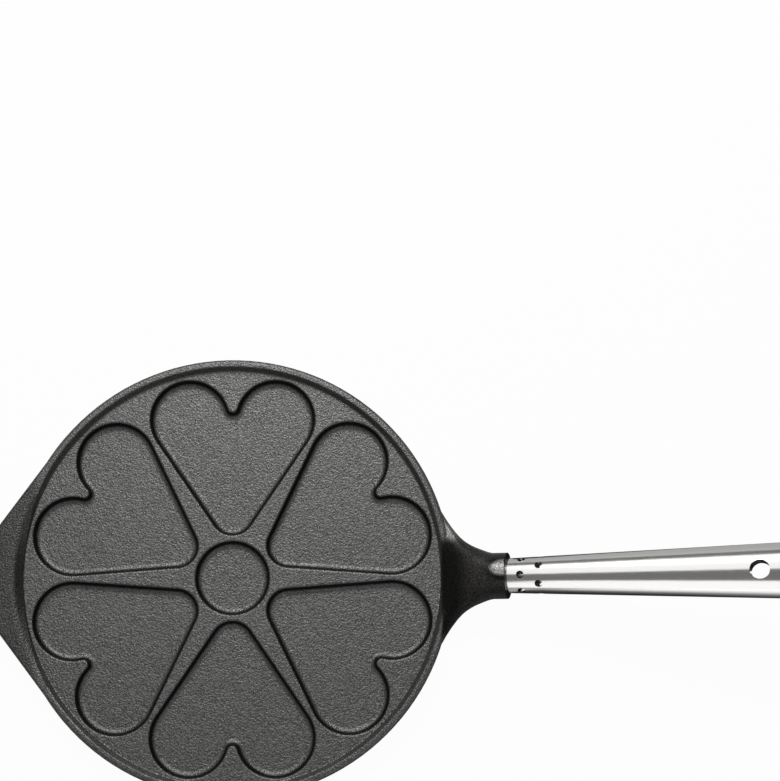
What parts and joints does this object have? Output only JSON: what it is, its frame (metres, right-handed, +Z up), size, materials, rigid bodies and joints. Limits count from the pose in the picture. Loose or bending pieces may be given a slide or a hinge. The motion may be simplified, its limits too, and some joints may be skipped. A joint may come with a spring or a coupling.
{
  "type": "heart pancake pan",
  "caption": "Round cast iron pancake pan with heart-shaped wells, a helper tab and a hollow tapered steel handle clamped to its neck.",
  "frame": {"origin": "centre of the flat underside, below the centre well", "axes": "+X from the pan's centre out along the handle, +Z up out of the wells, +Y completes the right-handed frame"},
  "size_m": [0.4275, 0.23, 0.0675],
  "materials": {
    "cast_iron": "seasoned, sand cast, matt dark grey",
    "stainless_sheet": "polished stainless sheet",
    "zinc_plated_steel": "bright zinc plated"
  },
  "bodies": {
    "root": {"pan_casting": "cast_iron", "handle_tube": "stainless_sheet", "wedge": "zinc_plated_steel", "flat_washer": "zinc_plated_steel", "spring_washer": "zinc_plated_steel", "clamp_screw": "zinc_plated_steel"}
  },
  "joints": []
}
